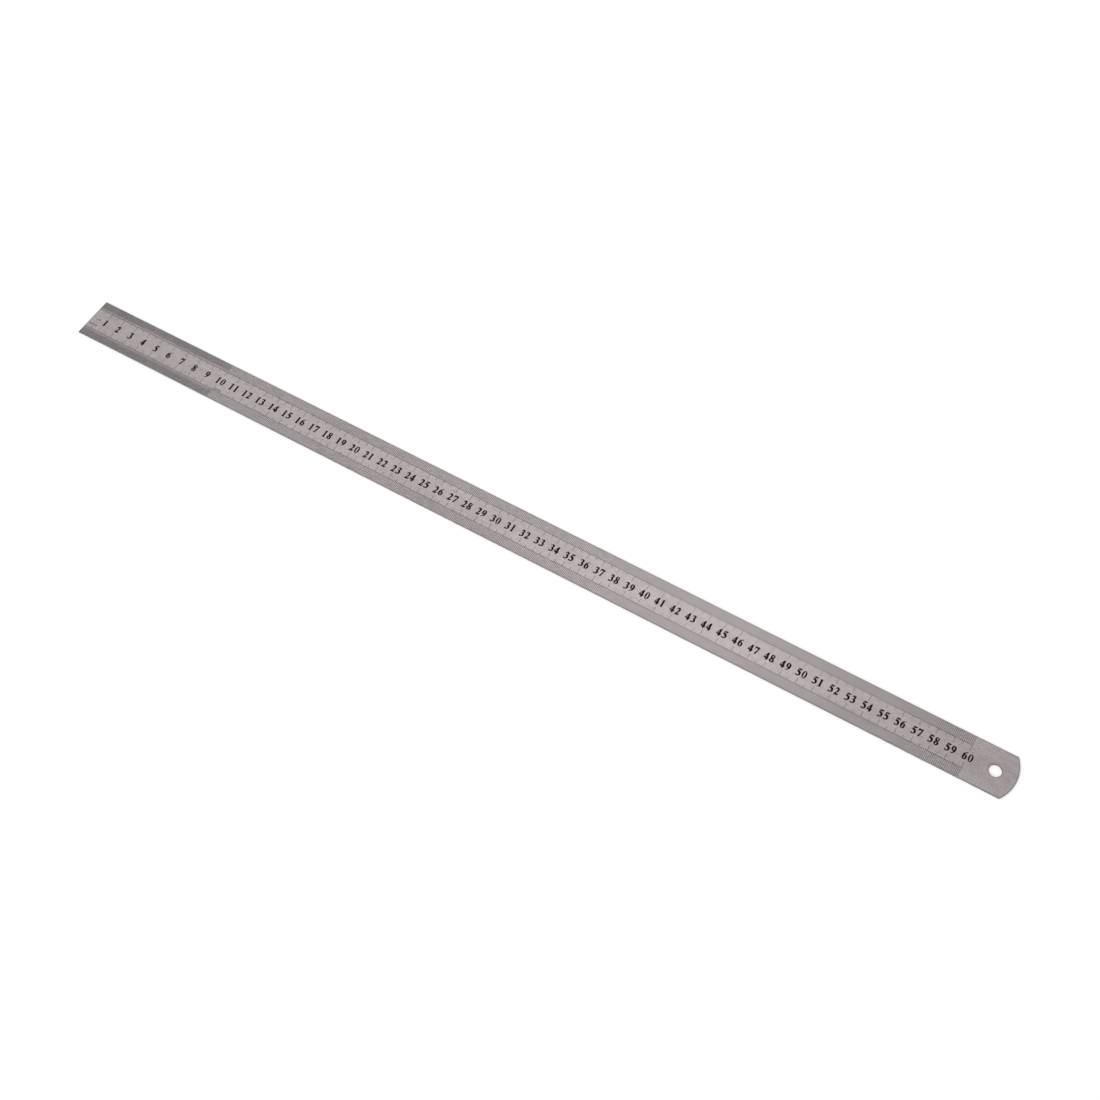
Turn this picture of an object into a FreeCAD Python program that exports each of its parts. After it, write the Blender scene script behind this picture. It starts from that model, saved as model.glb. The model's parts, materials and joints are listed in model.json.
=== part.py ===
import FreeCAD, Part
import math
import os

os.makedirs("parts", exist_ok=True)

# A 60 cm steel ruler: one stainless blade with a square zero end, a round far end
# with a hanging hole, and black graduations, numerals and unit marks on its top face.
#
# Frame, in millimetres: +X runs along the ruler from the zero end to the hanging hole,
# +Y is across it, +Z is up, out of the face that carries the scales.
# The origin is under the middle of the blade, on the surface that it rests on.

# Blade
LENGTH = 629.0             # square end to the crown of the round end
WIDTH = 28.0
THICKNESS = 1.0
END_RADIUS = 24.5          # radius of the round end
EDGE_BREAK = 0.1           # small bevel along every long edge, both ends and the hole
HOLE_RADIUS = 3.75
HOLE_FROM_CROWN = 12.4     # hole centre to the crown of the round end

# Scales
SCALE_LENGTH = 600         # last graduation, from the zero end
HALF_MM_LENGTH = 100       # half millimetres are marked as far as this
HALF_MM = 0.5
CENTIMETRE = 10
MARK_WIDTH = 0.2           # width of a graduation along the ruler
MARK_HEIGHT = 0.03         # thickness of the black filling
LINE_WIDTH = 0.2           # width of the thin line that closes each scale
LINE_FROM_EDGE = 6.25      # centre of that line, from the long edge
HALF_MM_REACH = 4.8        # how far each kind of mark reaches in from the long edge
FIVE_MM_REACH = 8.2
CENTIMETRE_REACH = 10.1
MARK_START = 0.15          # where the marks start, just inside the bevel of the edge

# Numerals
NUMERAL_HEIGHT = 5.1
GRID_HEIGHT = 100.0        # the outlines below are drawn on a grid this high,
GRID_CENTRE = 26.0         # are centred on this grid line
FIGURE_WEIGHT = 1.5        # and then grow by this much all round, for bold strokes
SINGLE_OFFSET = 0.37       # centre of a one-figure numeral, past its mark
TENS_OFFSET = -1.2         # centre of the first of two figures
UNITS_OFFSET = 2.25        # centre of the second of two figures
DECADE = 10

# Unit marks
LETTER_HEIGHT = 1.3
LETTER_STROKE = 0.2
LETTER_GAP = 0.3
ARCH_RADIUS = 0.34         # centre line of each arch of the letter m
LETTER_C_OPENING = 50.0    # half angle of the gap in the letter c, in degrees
CM_START = 3.7             # where cm starts, from the zero end, level with the numerals
HALF_MM_START = 1.2        # where the scale that starts in half millimetres says so
HALF_MM_ACROSS = -4.5      # and how high across the blade
MM_START = 100.9           # where it turns to whole millimetres, and says mm
MM_ACROSS = -6.6

UPWARD = FreeCAD.Vector(0, 0, 1)
ZERO_X = -LENGTH / 2
HALF_WIDTH = WIDTH / 2
SLACK = 1.0                # overlap that makes cuts pass clean through

# Outlines of the figures, on a grid GRID_HEIGHT high. Each starts at a point. A pair
# is a straight run to that point. Four numbers are a curve: its pull point, then its end.
FIGURE_OUTLINES = {
    "1": [(10, 0), (43, 0), (43, 4), (37, 5, 37, 13), (37, 100), (32, 100), (9, 91),
          (9, 87), (17, 88, 17, 81), (17, 13), (17, 5, 10, 4)],
    "2": [(1, 0), (46, 0), (53, 27), (49, 27), (46, 19, 37, 19), (20, 19),
          (45, 41, 47, 72), (47, 100, 26, 100), (7, 100, 1, 73), (6, 71),
          (10, 82, 18, 82), (27, 82, 27, 67), (31, 42, 1, 5)],
    "3": [(2, 77), (7, 100, 27, 100), (47, 100, 47, 80), (47, 67, 36, 60),
          (52, 52, 52, 33), (52, 0, 12, 0), (0, 0, 0, 9), (0, 17, 9, 17),
          (14, 17, 19, 12), (31, 5, 31, 30), (31, 47, 16, 49), (16, 54),
          (28, 58, 28, 73), (28, 85, 18, 85), (10, 85, 7, 75)],
    "4": [(29, 100), (44, 100), (44, 38), (53, 38), (53, 20), (44, 20), (44, 0),
          (24, 0), (24, 20), (-1, 20), (-1, 35)],
    "5": [(12, 100), (51, 100), (46, 82), (16, 82), (13, 73), (52, 69, 52, 35),
          (52, 0, 13, 0), (0, 0, 0, 9), (0, 17, 9, 17), (14, 17, 19, 12),
          (32, 5, 32, 28), (32, 48, 3, 52)],
    "6": [(47, 100), (0, 88, 0, 40), (0, 0, 26, 0), (52, 0, 52, 33), (52, 64, 33, 64),
          (26, 64, 21, 60), (25, 86, 48, 96)],
    "7": [(2, 100), (53, 100), (53, 94), (31, 0), (14, 0), (39, 81), (18, 81),
          (8, 81, 5, 68), (0, 68)],
    "8": [(26, 100), (49, 100, 49, 78), (49, 63, 37, 54), (53, 43, 53, 26),
          (53, 0, 26, 0), (-1, 0, -1, 24), (-1, 39, 12, 48), (3, 58, 3, 76),
          (3, 100, 26, 100)],
}
# The triangle inside the figure 4 in its finished size, on the same grid
FOUR_OPENING = [(9.5, 39.5), (22.5, 39.5), (22.5, 65.5)]
# Round forms in their finished size: centre x and y, half width, half height, lean in degrees
ZERO_OUTLINE = (26, 50, 28.5, 51.5, 0)
ROUND_OPENINGS = {
    "0": [(26, 50, 8.5, 43, 0)],
    "6": [(27, 31, 5.5, 22.5, 0)],
    "8": [(27.5, 77, 6, 14.5, 8), (25, 25, 6, 15.5, 12)],
}


def flat(x, y):
    return FreeCAD.Vector(x, y, 0)


def outline_wire(points):
    """Closed wire through points, with straight runs and curves as described above."""
    edges = []
    start = flat(*points[0])
    for point in points[1:] + [points[0]]:
        end = flat(*point[-2:])
        if len(point) == 4:
            curve = Part.BezierCurve()
            curve.setPoles([start, flat(*point[:2]), end])
            edges.append(curve.toShape())
        elif (end - start).Length > 0:
            edges.append(Part.makeLine(start, end))
        start = end
    return Part.Wire(edges)


def oval_wire(centre_x, centre_y, half_width, half_height, lean):
    """Upright oval, turned clockwise by lean degrees about its centre."""
    top = flat(centre_x, centre_y + half_height)
    side = flat(centre_x + half_width, centre_y)
    oval = Part.Wire(Part.Ellipse(top, side, flat(centre_x, centre_y)).toShape())
    oval.rotate(flat(centre_x, centre_y), UPWARD, -lean)
    return oval


def figure_face(figure):
    """Flat face of one figure on the grid. A 9 is a 6 turned half round."""
    shape_of = "6" if figure == "9" else figure
    if shape_of == "0":
        face = Part.Face(oval_wire(*ZERO_OUTLINE))
    else:
        face = Part.Face(outline_wire(FIGURE_OUTLINES[shape_of])).makeOffset2D(FIGURE_WEIGHT)
    for opening in ROUND_OPENINGS.get(shape_of, []):
        face = face.cut(Part.Face(oval_wire(*opening)))
    if shape_of == "4":
        face = face.cut(Part.Face(outline_wire(FOUR_OPENING)))
    if figure == "9":
        face.rotate(flat(GRID_CENTRE, GRID_HEIGHT / 2), UPWARD, 180)
    return face


def figure_solid(figure, height):
    """One figure of this height as a thin black layer, its middle at the origin."""
    scale = height / (GRID_HEIGHT + 2 * FIGURE_WEIGHT)
    matrix = FreeCAD.Matrix()
    matrix.scale(scale, scale, 1)
    face = figure_face(figure)
    face.translate(flat(-GRID_CENTRE, -GRID_HEIGHT / 2))
    return face.transformGeometry(matrix).extrude(UPWARD * MARK_HEIGHT).Solids[0]


def numeral_solids(number):
    """The figures of one numeral, set beside its centimetre mark."""
    figures = str(number)
    offsets = [SINGLE_OFFSET] if len(figures) == 1 else [TENS_OFFSET, UNITS_OFFSET]
    solids = []
    for figure, offset in zip(figures, offsets):
        solid = figure_solid(figure, NUMERAL_HEIGHT)
        solid.translate(FreeCAD.Vector(ZERO_X + number * CENTIMETRE + offset, 0, THICKNESS))
        solids.append(solid)
    return solids


def numerals(first):
    """The ten numerals from first upwards."""
    solids = []
    for number in range(first, first + DECADE):
        solids += numeral_solids(number)
    return solids


def blade():
    """The steel blade: one flat strip with its edges broken."""
    arc_rise = END_RADIUS - math.sqrt(END_RADIUS ** 2 - HALF_WIDTH ** 2)
    crown_x = ZERO_X + LENGTH
    corner_x = crown_x - arc_rise
    near_zero = flat(ZERO_X, -HALF_WIDTH)
    near_end = flat(corner_x, -HALF_WIDTH)
    far_end = flat(corner_x, HALF_WIDTH)
    far_zero = flat(ZERO_X, HALF_WIDTH)
    outline = Part.Wire([
        Part.makeLine(near_zero, near_end),
        Part.Arc(near_end, flat(crown_x, 0), far_end).toShape(),
        Part.makeLine(far_end, far_zero),
        Part.makeLine(far_zero, near_zero),
    ])
    strip = Part.Face(outline).extrude(UPWARD * THICKNESS)
    hole_base = FreeCAD.Vector(crown_x - HOLE_FROM_CROWN, 0, -SLACK)
    strip = strip.cut(Part.makeCylinder(HOLE_RADIUS, THICKNESS + 2 * SLACK, hole_base))
    rims = [edge for edge in strip.Edges if edge.BoundBox.ZLength < EDGE_BREAK]
    return [strip.makeChamfer(EDGE_BREAK, rims)]


def bar(x_low, x_high, edge_low, edge_high, side):
    """Thin black bar, placed by its distances in from the long edge on that side."""
    length = edge_high - edge_low
    y_low = HALF_WIDTH - edge_high if side > 0 else edge_low - HALF_WIDTH
    return Part.makeBox(x_high - x_low, length, MARK_HEIGHT, FreeCAD.Vector(x_low, y_low, THICKNESS))


def marks(positions, reach, side):
    """Graduations at positions, in millimetres from the zero end."""
    solids = []
    for position in positions:
        middle = ZERO_X + position
        x_low = middle - MARK_WIDTH / 2
        solids.append(bar(x_low, x_low + MARK_WIDTH, MARK_START, reach, side))
    return solids


def centimetre_marks(side):
    return marks(range(CENTIMETRE, SCALE_LENGTH + 1, CENTIMETRE), CENTIMETRE_REACH, side)


def five_millimetre_marks(side):
    return marks(range(CENTIMETRE // 2, SCALE_LENGTH, CENTIMETRE), FIVE_MM_REACH, side)


def millimetre_marks(side):
    """The short millimetre marks, which end at the thin line."""
    half_centimetre = CENTIMETRE // 2
    positions = [mm for mm in range(1, SCALE_LENGTH) if mm % half_centimetre]
    return marks(positions, LINE_FROM_EDGE - LINE_WIDTH / 2, side)


def half_millimetre_marks(side):
    positions = [mm + HALF_MM for mm in range(HALF_MM_LENGTH)]
    return marks(positions, HALF_MM_REACH, side)


def scale_line(side):
    """The thin line along a scale, in runs between the marks that cross it."""
    solids = []
    run = CENTIMETRE / 2
    low = LINE_FROM_EDGE - LINE_WIDTH / 2
    high = LINE_FROM_EDGE + LINE_WIDTH / 2
    for index in range(int(SCALE_LENGTH / run)):
        x_low = ZERO_X + index * run + MARK_WIDTH / 2
        x_high = ZERO_X + (index + 1) * run - MARK_WIDTH / 2
        if index == 0:
            x_low = ZERO_X + MARK_START
        solids.append(bar(x_low, x_high, low, high, side))
    return solids


def ring(centre_x, centre_y, radius):
    """Flat ring of a letter's stroke width about a centre line of this radius."""
    centre = FreeCAD.Vector(centre_x, centre_y, 0)
    outer = Part.makeCylinder(radius + LETTER_STROKE / 2, MARK_HEIGHT, centre)
    return outer.cut(Part.makeCylinder(radius - LETTER_STROKE / 2, MARK_HEIGHT, centre))


def letter_m():
    """Letter m and its width: three stems under two arches."""
    half = LETTER_STROKE / 2
    arch_y = LETTER_HEIGHT - ARCH_RADIUS - half
    width = LETTER_STROKE + 4 * ARCH_RADIUS
    above = Part.makeBox(width, LETTER_HEIGHT, MARK_HEIGHT, flat(0, arch_y))
    first_stem = Part.makeBox(LETTER_STROKE, LETTER_HEIGHT, MARK_HEIGHT)
    pieces = []
    for arch in range(2):
        pieces.append(ring(half + (2 * arch + 1) * ARCH_RADIUS, arch_y, ARCH_RADIUS).common(above))
        stem_x = 2 * (arch + 1) * ARCH_RADIUS
        pieces.append(Part.makeBox(LETTER_STROKE, arch_y, MARK_HEIGHT, flat(stem_x, 0)))
    return first_stem.multiFuse(pieces).removeSplitter(), width


def letter_c():
    """Letter c and its width: a ring with a gap on its right."""
    radius = (LETTER_HEIGHT - LETTER_STROKE) / 2
    middle = LETTER_HEIGHT / 2
    opening = math.radians(LETTER_C_OPENING)
    upper = flat(middle + LETTER_HEIGHT, middle + LETTER_HEIGHT * math.tan(opening))
    lower = flat(middle + LETTER_HEIGHT, middle - LETTER_HEIGHT * math.tan(opening))
    corners = [flat(middle, middle), lower, upper]
    gap = Part.Face(Part.makePolygon(corners + corners[:1])).extrude(UPWARD * MARK_HEIGHT)
    return ring(middle, middle, radius).cut(gap), middle + radius * math.cos(opening)


def small_figure(figure):
    """A figure as high as the letters, and its width."""
    solid = figure_solid(figure, LETTER_HEIGHT)
    box = solid.BoundBox
    solid.translate(flat(-box.XMin, LETTER_HEIGHT / 2))
    return solid, box.XLength


def character(name):
    """One character of a unit mark, standing on the X axis, and its width."""
    if name == "m":
        return letter_m()
    if name == "c":
        return letter_c()
    if name == ".":
        return Part.makeBox(LETTER_STROKE, LETTER_STROKE, MARK_HEIGHT), LETTER_STROKE
    return small_figure(name)


def unit_mark(text, position, across):
    """The characters of one unit mark, starting position mm from the zero end."""
    solids = []
    x_low = ZERO_X + position
    for name in text:
        shape, width = character(name)
        if len(shape.Solids) != 1:
            raise ValueError("a character is not one solid")
        solid = shape.Solids[0]
        solid.translate(FreeCAD.Vector(x_low, across - LETTER_HEIGHT / 2, THICKNESS))
        solids.append(solid)
        x_low += width + LETTER_GAP
    return solids


def unit_marks():
    """cm beside the numerals, and the step of the lower scale where it starts and changes."""
    centimetres = unit_mark("cm", CM_START, 0)
    half_millimetres = unit_mark("0.5mm", HALF_MM_START, HALF_MM_ACROSS)
    millimetres = unit_mark("mm", MM_START, MM_ACROSS)
    return centimetres + half_millimetres + millimetres


def write(name, solids):
    shape = solids[0] if len(solids) == 1 else Part.makeCompound(solids)
    if not shape.isValid():
        raise ValueError(name + " is not a valid shape")
    shape.exportStep("parts/" + name + ".step")


write("blade", blade())
for side, side_name in ((1, "upper"), (-1, "lower")):
    write(side_name + "_centimetre_marks", centimetre_marks(side))
    write(side_name + "_five_millimetre_marks", five_millimetre_marks(side))
    write(side_name + "_millimetre_marks", millimetre_marks(side))
    write(side_name + "_half_millimetre_marks", half_millimetre_marks(side))
    write(side_name + "_scale_line", scale_line(side))
for first in range(1, SCALE_LENGTH // CENTIMETRE, DECADE):
    last = first + DECADE - 1
    write("numerals_%02d_to_%02d" % (first, last), numerals(first))
write("unit_marks", unit_marks())
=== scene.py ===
import json
import math

import bmesh
import bpy
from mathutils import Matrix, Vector
from mathutils.geometry import tessellate_polygon


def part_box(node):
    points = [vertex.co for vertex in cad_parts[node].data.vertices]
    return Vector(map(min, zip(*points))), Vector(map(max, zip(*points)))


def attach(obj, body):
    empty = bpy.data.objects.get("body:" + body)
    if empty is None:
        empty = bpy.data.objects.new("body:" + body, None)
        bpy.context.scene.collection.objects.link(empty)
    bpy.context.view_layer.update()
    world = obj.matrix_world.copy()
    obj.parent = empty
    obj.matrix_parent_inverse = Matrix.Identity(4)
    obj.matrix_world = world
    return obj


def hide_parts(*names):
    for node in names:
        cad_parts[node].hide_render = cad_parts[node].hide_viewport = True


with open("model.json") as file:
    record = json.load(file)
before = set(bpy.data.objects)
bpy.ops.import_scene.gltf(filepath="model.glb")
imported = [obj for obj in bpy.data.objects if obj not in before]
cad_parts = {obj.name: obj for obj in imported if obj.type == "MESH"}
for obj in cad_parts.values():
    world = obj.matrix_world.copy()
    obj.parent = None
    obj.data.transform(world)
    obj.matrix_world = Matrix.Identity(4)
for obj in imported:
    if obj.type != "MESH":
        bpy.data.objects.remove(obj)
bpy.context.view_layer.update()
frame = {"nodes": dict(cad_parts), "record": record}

# Everything is in metres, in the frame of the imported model: +X runs from the zero end to the
# hanging hole, +Y across the ruler, +Z up out of its marked face.
MM = 0.001

# Blade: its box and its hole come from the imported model
blade_low, blade_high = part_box("blade")
HOLE = next(mount for mount in frame["record"]["mounts"] if mount["name"] == "hanging_hole")
HOLE_X = HOLE["pos_m"][0]
HOLE_RADIUS = HOLE["dims"]["r_mm"] * MM
HALF_WIDTH = (blade_high[1] - blade_low[1]) / 2
CROWN_X = -blade_low[0]    # the zero end and the round end are equally far from the origin
END_RADIUS = 24.5 * MM
ROUNDING = 0.1 * MM        # small rounding along every edge
ROUNDING_STEPS = 4         # facets of that rounding
ARC_STEPS = 96             # facets of the round end
HOLE_STEPS = 128           # facets of the hanging hole
STRIP_STEPS = 60           # facets along each long edge
EDGE_BAND = 0.5 * MM       # width of the slightly darker band along the edges, painted shade for the dark that their rounding mirrors
HOLE_MARGIN = 6 * MM       # plain strip ends this far before the hole
SHARP_ANGLE = 30.0         # edges that turn by more degrees than this stay sharp
RIM = "rim"                # strength of the painted edge shade, kept on the mesh's points

# Camera: where the ruler was seen from
CAMERA_PLACE = (0.2780, -0.4536, 0.8270)
CAMERA_TURN = (32.092, -0.674, 30.409)
CAMERA_LENS = 54.72
CAMERA_SENSOR = 36.0
CAMERA_NEAR = 0.01

# Studio
WHITE = (1.0, 1.0, 1.0, 1.0)
SKY_HORIZON = 0.96         # brightness of the white studio walls
SKY_CEILING = 0.46         # and of the dimmer ceiling, which the ruler mirrors
WALL_TOP = 0.15            # how steeply up, as a sine, the walls begin to fade
CEILING_START = 0.75       # and where the fade ends
SUN_STRENGTH = 2.15
SUN_SPREAD = 40.0          # degrees across, as wide as a large soft window
SUN_TURN = (42.0, 0.0, -25.0)
FLOOR_SIZE = 60.0
FLOOR_CELLS = 8
FLOOR_DROP = 0.05 * MM     # the floor is a hair below the blade's underside

# Colours
STEEL_DARK = (0.400, 0.350, 0.357)
STEEL_LIGHT = (0.720, 0.645, 0.654)
STEEL_BRIGHT = (0.78, 0.73, 0.74)
# painted edge shade: the colour the edges are darkened towards, standing in for the dark their
# rounding mirrors
STEEL_EDGE_SHADE = (0.19, 0.166, 0.171)
BLACK_DEEP = (0.002, 0.002, 0.0022)
BLACK_WORN = (0.009, 0.0085, 0.0085)
BLACK_PITTED = (0.12, 0.11, 0.11)
FLOOR_SHADE = (0.930, 0.930, 0.930)
FLOOR_LIGHT = (0.945, 0.945, 0.945)
STEEL_RELIEF = 0.004 * MM  # depth of the grain
BLACK_RELIEF = 0.003 * MM  # depth of the filling's unevenness


def smooth_step(nodes, links, socket, source, target):
    """Maps the source range of a socket smoothly to the target range, and holds the ends."""
    step = nodes.new("ShaderNodeMapRange")
    step.interpolation_type = "SMOOTHSTEP"
    links.new(socket, step.inputs["Value"])
    step.inputs["From Min"].default_value, step.inputs["From Max"].default_value = source
    step.inputs["To Min"].default_value, step.inputs["To Max"].default_value = target
    return step.outputs["Result"]


class Shader:
    """A material's nodes, with short ways to add the ones that are used here."""

    def __init__(self, name):
        self.material = bpy.data.materials.new(name)
        self.material.use_nodes = True
        self.nodes = self.material.node_tree.nodes
        self.links = self.material.node_tree.links
        self.surface = self.nodes["Principled BSDF"]
        self.place = self.nodes.new("ShaderNodeTexCoord").outputs["Object"]

    def connect(self, output, socket):
        """Links an output to one of the surface's own inputs."""
        self.links.new(output, self.surface.inputs[socket])

    def noise(self, size_x, size_y, detail, turn=0.0):
        """Noise between 0 and 1 whose grains are about size_x by size_y mm, turned about Z."""
        turned = self.nodes.new("ShaderNodeMapping")
        turned.inputs["Rotation"].default_value = (0, 0, math.radians(turn))
        scaled = self.nodes.new("ShaderNodeMapping")
        across = 1 / (size_y * MM)
        scaled.inputs["Scale"].default_value = (1 / (size_x * MM), across, across)
        texture = self.nodes.new("ShaderNodeTexNoise")
        texture.inputs["Scale"].default_value = 1.0
        texture.inputs["Detail"].default_value = detail
        self.links.new(self.place, turned.inputs["Vector"])
        self.links.new(turned.outputs["Vector"], scaled.inputs["Vector"])
        self.links.new(scaled.outputs["Vector"], texture.inputs["Vector"])
        return texture.outputs["Fac"]

    def sum(self, *parts):
        """Weighted sum of sockets, given as (socket, weight) pairs."""
        total = None
        for socket, weight in parts:
            step = self.nodes.new("ShaderNodeMath")
            step.operation = "MULTIPLY_ADD"
            self.links.new(socket, step.inputs[0])
            step.inputs[1].default_value = weight
            if total is None:
                step.inputs[2].default_value = 0.0
            else:
                self.links.new(total, step.inputs[2])
            total = step.outputs["Value"]
        return total

    def band(self, socket, low, high, to_low=0.0, to_high=1.0):
        """Maps low..high to to_low..to_high, and holds the ends."""
        return smooth_step(self.nodes, self.links, socket, (low, high), (to_low, to_high))

    def mix(self, low, high, factor):
        """Blend of two colours, each a value or a socket."""
        step = self.nodes.new("ShaderNodeMix")
        step.data_type = "RGBA"
        colour_inputs = [item for item in step.inputs if item.type == "RGBA"]
        for socket, value in zip(colour_inputs, (low, high)):
            if isinstance(value, bpy.types.NodeSocket):
                self.links.new(value, socket)
            else:
                socket.default_value = (*value, 1.0)
        self.links.new(factor, step.inputs[0])
        return next(item for item in step.outputs if item.type == "RGBA")

    def bump(self, height, distance):
        """Raises the surface by height times distance."""
        step = self.nodes.new("ShaderNodeBump")
        step.inputs["Strength"].default_value = 1.0
        step.inputs["Distance"].default_value = distance
        self.links.new(height, step.inputs["Height"])
        self.links.new(step.outputs["Normal"], self.surface.inputs["Normal"])


def steel_material():
    """Satin stainless steel: lengthwise grain, sparkle, clouds, scratches and painted shade along the
    edges.
    """
    shader = Shader("satin_steel")
    grain = shader.noise(4.0, 0.16, detail=3.0)
    sparkle = shader.noise(0.80, 0.34, detail=3.0)
    clouds = shader.noise(45.0, 14.0, detail=3.0)
    blotches = shader.noise(5.0, 3.0, detail=4.0)
    tone = shader.sum((grain, 0.34), (sparkle, 0.48), (clouds, 0.10), (blotches, 0.08))
    colour = shader.mix(STEEL_DARK, STEEL_LIGHT, shader.band(tone, 0.38, 0.62))

    scratch_one = shader.noise(9.0, 0.05, detail=0.0, turn=17.0)
    scratch_two = shader.noise(7.0, 0.05, detail=0.0, turn=-38.0)
    hairlines = shader.sum(
        (shader.band(scratch_one, 0.74, 0.80), 1.0),
        (shader.band(scratch_two, 0.75, 0.81), 1.0),
    )
    colour = shader.mix(colour, STEEL_BRIGHT, shader.sum((hairlines, 0.5)))

    # painted edge shade: the edges and walls are darkened in colour, made uneven by the blotches, for
    # the dark that the rounded edges mirror
    rim = shader.nodes.new("ShaderNodeAttribute")
    rim.attribute_name = RIM
    painted_edge_shade = shader.band(shader.sum((rim.outputs["Fac"], 1.0), (blotches, 0.3)), 0.15, 0.75)
    colour = shader.mix(colour, STEEL_EDGE_SHADE, shader.sum((painted_edge_shade, 0.8)))
    shader.connect(colour, "Base Color")

    rough = shader.sum((grain, 0.10), (sparkle, 0.12), (clouds, 0.10), (painted_edge_shade, 0.04))
    shader.connect(shader.band(rough, 0.02, 0.30, 0.30, 0.44), "Roughness")
    shader.surface.inputs["Metallic"].default_value = 1.0
    height = shader.sum((grain, 0.55), (sparkle, 0.45), (hairlines, -0.8))
    shader.bump(height, STEEL_RELIEF)
    return shader.material


def mark_material():
    """Matt black filling: slightly uneven, with pin holes."""
    shader = Shader("black_filling")
    speckle = shader.noise(0.25, 0.25, detail=3.0)
    patches = shader.noise(6.0, 3.0, detail=3.0)
    tone = shader.sum((speckle, 0.6), (patches, 0.4))
    colour = shader.mix(BLACK_DEEP, BLACK_WORN, shader.band(tone, 0.38, 0.64))
    pin_holes = shader.band(speckle, 0.70, 0.76)
    colour = shader.mix(colour, BLACK_PITTED, shader.sum((pin_holes, 0.4)))
    shader.connect(colour, "Base Color")
    shader.connect(shader.band(tone, 0.35, 0.65, 0.50, 0.68), "Roughness")
    shader.surface.inputs["Specular IOR Level"].default_value = 0.1
    shader.bump(speckle, BLACK_RELIEF)
    return shader.material


def floor_material():
    """Plain pale studio floor."""
    shader = Shader("pale_floor")
    cloud = shader.noise(900.0, 900.0, detail=1.0)
    colour = shader.mix(FLOOR_SHADE, FLOOR_LIGHT, cloud)
    shader.connect(colour, "Base Color")
    shader.surface.inputs["Roughness"].default_value = 0.9
    shader.surface.inputs["Specular IOR Level"].default_value = 0.1
    return shader.material


def outline(inset):
    """Blade outline drawn in by inset: lower edge, round end, upper edge, zero end."""
    half = HALF_WIDTH - inset
    radius = END_RADIUS - inset
    arc_centre = CROWN_X - END_RADIUS
    spread = math.asin(half / radius)
    corner_x = arc_centre + radius * math.cos(spread)
    zero_x = blade_low[0] + inset
    strip_end = HOLE_X - HOLE_RADIUS - HOLE_MARGIN
    strip = [zero_x + (strip_end - zero_x) * step / STRIP_STEPS for step in range(STRIP_STEPS + 1)]
    lower = [(x, -half) for x in strip]
    arc = []
    for step in range(ARC_STEPS + 1):
        angle = spread * (2 * step / ARC_STEPS - 1)
        arc.append((arc_centre + radius * math.cos(angle), radius * math.sin(angle)))
    arc[0] = (corner_x, -half)
    arc[-1] = (corner_x, half)
    upper = [(x, half) for x in reversed(strip)]
    return lower + arc + upper


def hole_outline(inset):
    """Edge of the hole, drawn out into the steel by inset."""
    radius = HOLE_RADIUS + inset
    turns = [2 * math.pi * step / HOLE_STEPS for step in range(HOLE_STEPS)]
    return [(HOLE_X + radius * math.cos(turn), radius * math.sin(turn)) for turn in turns]


def wall_profile():
    """(inset, height, rim) from the lower face's edge band, up the wall, to the upper face's; rim is
    the strength of the painted edge shade.
    """
    half = [(EDGE_BAND, blade_low[2], 0.0)]
    for step in range(ROUNDING_STEPS + 1):
        angle = math.pi / 2 * step / ROUNDING_STEPS
        inset = ROUNDING * (1 - math.sin(angle))
        half.append((inset, blade_low[2] + ROUNDING * (1 - math.cos(angle)), 1.0))
    top = blade_low[2] + blade_high[2]
    return half + [(inset, top - height, rim) for inset, height, rim in reversed(half)]


def add_ring(mesh, points, height, rim):
    """Closed ring of mesh points at one height, all given the painted edge shade that rim says."""
    layer = mesh.verts.layers.float[RIM]
    ring = [mesh.verts.new((x, y, height)) for x, y in points]
    for vert in ring:
        vert[layer] = rim
    return ring


def bridge(mesh, below, above, smooth):
    """Quads between two closed rings of the same length."""
    count = len(below)
    for index in range(count):
        after = (index + 1) % count
        face = mesh.faces.new((below[index], below[after], above[after], above[index]))
        face.smooth = smooth


def cap(mesh, outer, inner, upward):
    """Flat face between the outline and the hole: quads along the strip, triangles at its end."""
    last = STRIP_STEPS
    for index in range(last):
        quad = (outer[index], outer[index + 1], outer[-2 - index], outer[-1 - index])
        mesh.faces.new(quad if upward else quad[::-1])
    end = outer[last:len(outer) - last]
    loops = [[vert.co.copy() for vert in end], [vert.co.copy() for vert in inner]]
    corners = end + inner
    for triangle in tessellate_polygon(loops):
        mesh.faces.new([corners[index] for index in triangle])


def add_object(name, mesh, material):
    """Object of this material in the scene, made from a finished bmesh."""
    data = bpy.data.meshes.new(name)
    mesh.to_mesh(data)
    mesh.free()
    data.materials.append(material)
    piece = bpy.data.objects.new(name, data)
    bpy.context.collection.objects.link(piece)
    return piece


def build_blade():
    """The blade with smooth round forms and finely rounded edges."""
    mesh = bmesh.new()
    mesh.verts.layers.float.new(RIM)
    outer_rings = []
    inner_rings = []
    for inset, height, rim in wall_profile():
        outer_rings.append(add_ring(mesh, outline(inset), height, rim))
        inner_rings.append(add_ring(mesh, hole_outline(inset), height, rim))
    for rings in (outer_rings, inner_rings):
        for index in range(len(rings) - 1):
            on_wall = 0 < index < len(rings) - 2
            bridge(mesh, rings[index], rings[index + 1], on_wall)
    cap(mesh, outer_rings[0], inner_rings[0], upward=False)
    cap(mesh, outer_rings[-1], inner_rings[-1], upward=True)
    bmesh.ops.recalc_face_normals(mesh, faces=mesh.faces)
    for edge in mesh.edges:
        if edge.calc_face_angle() > math.radians(SHARP_ANGLE):
            edge.smooth = False
    return add_object("ruler_blade", mesh, steel_material())


def build_floor():
    """Large flat floor under the ruler."""
    mesh = bmesh.new()
    bmesh.ops.create_grid(mesh, x_segments=FLOOR_CELLS, y_segments=FLOOR_CELLS, size=FLOOR_SIZE / 2)
    bmesh.ops.translate(mesh, verts=mesh.verts, vec=(0, 0, blade_low[2] - FLOOR_DROP))
    add_object("floor", mesh, floor_material())


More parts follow.
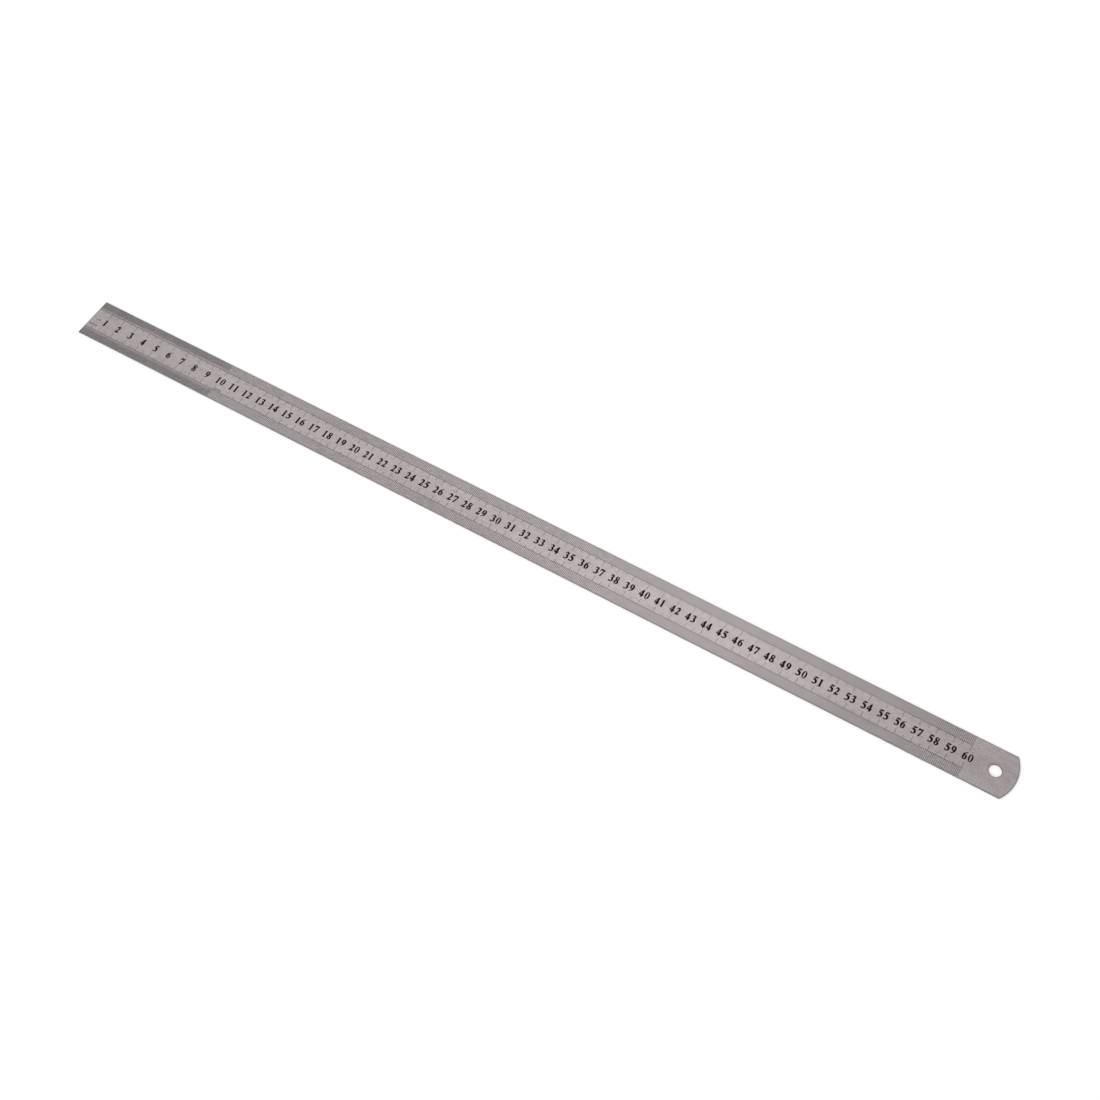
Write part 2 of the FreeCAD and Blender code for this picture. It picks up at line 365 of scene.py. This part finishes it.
def add_softbox(name, place, target, width, depth, power):
    """Area light at place, facing target."""
    light = bpy.data.lights.new(name, "AREA")
    light.shape = "RECTANGLE"
    light.size = width
    light.size_y = depth
    light.energy = power
    lamp = bpy.data.objects.new(name, light)
    lamp.location = place
    lamp.rotation_euler = (Vector(target) - Vector(place)).to_track_quat("-Z", "Y").to_euler()
    bpy.context.collection.objects.link(lamp)


def build_sky():
    """Plain studio round the scene: white walls that fade smoothly into a dimmer ceiling."""
    world = bpy.data.worlds.new("studio")
    bpy.context.scene.world = world
    world.use_nodes = True
    nodes, links = world.node_tree.nodes, world.node_tree.links
    direction = nodes.new("ShaderNodeTexCoord")
    split = nodes.new("ShaderNodeSeparateXYZ")
    links.new(direction.outputs["Generated"], split.inputs["Vector"])
    fade_range = (WALL_TOP, CEILING_START)
    fade = smooth_step(nodes, links, split.outputs["Z"], fade_range, (SKY_HORIZON, SKY_CEILING))
    links.new(fade, nodes["Background"].inputs["Strength"])
    nodes["Background"].inputs["Color"].default_value = WHITE


def add_sun():
    """Broad even light from the front, which the camera doesn't see mirrored in the ruler."""
    light = bpy.data.lights.new("front_light", "SUN")
    light.energy = SUN_STRENGTH
    light.angle = math.radians(SUN_SPREAD)
    lamp = bpy.data.objects.new("front_light", light)
    lamp.rotation_euler = [math.radians(turn) for turn in SUN_TURN]
    bpy.context.collection.objects.link(lamp)


def light_scene():
    """Even studio light, and two softboxes that the ruler mirrors towards the camera."""
    bpy.context.scene.view_settings.view_transform = "Standard"
    build_sky()
    add_sun()
    add_softbox("back_softbox", (-0.11, 0.76, 1.38), (0.11, 0, 0), 0.45, 0.45, 0.8)
    add_softbox("left_softbox", (-0.85, 0.85, 1.45), (-0.15, 0, 0), 0.9, 0.5, 0.8)


def add_camera():
    """The camera that the main view is seen through."""
    data = bpy.data.cameras.new("camera")
    data.lens = CAMERA_LENS
    data.sensor_width = CAMERA_SENSOR
    data.clip_start = CAMERA_NEAR
    camera = bpy.data.objects.new("camera", data)
    camera.location = CAMERA_PLACE
    camera.rotation_euler = [math.radians(turn) for turn in CAMERA_TURN]
    bpy.context.collection.objects.link(camera)
    bpy.context.scene.camera = camera


add_camera()
light_scene()
build_floor()

blade = build_blade()
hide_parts("blade")
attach(blade, "root")

black = mark_material()
for name, node in frame["nodes"].items():
    if name != "blade":
        for slot in node.material_slots:
            slot.material = black
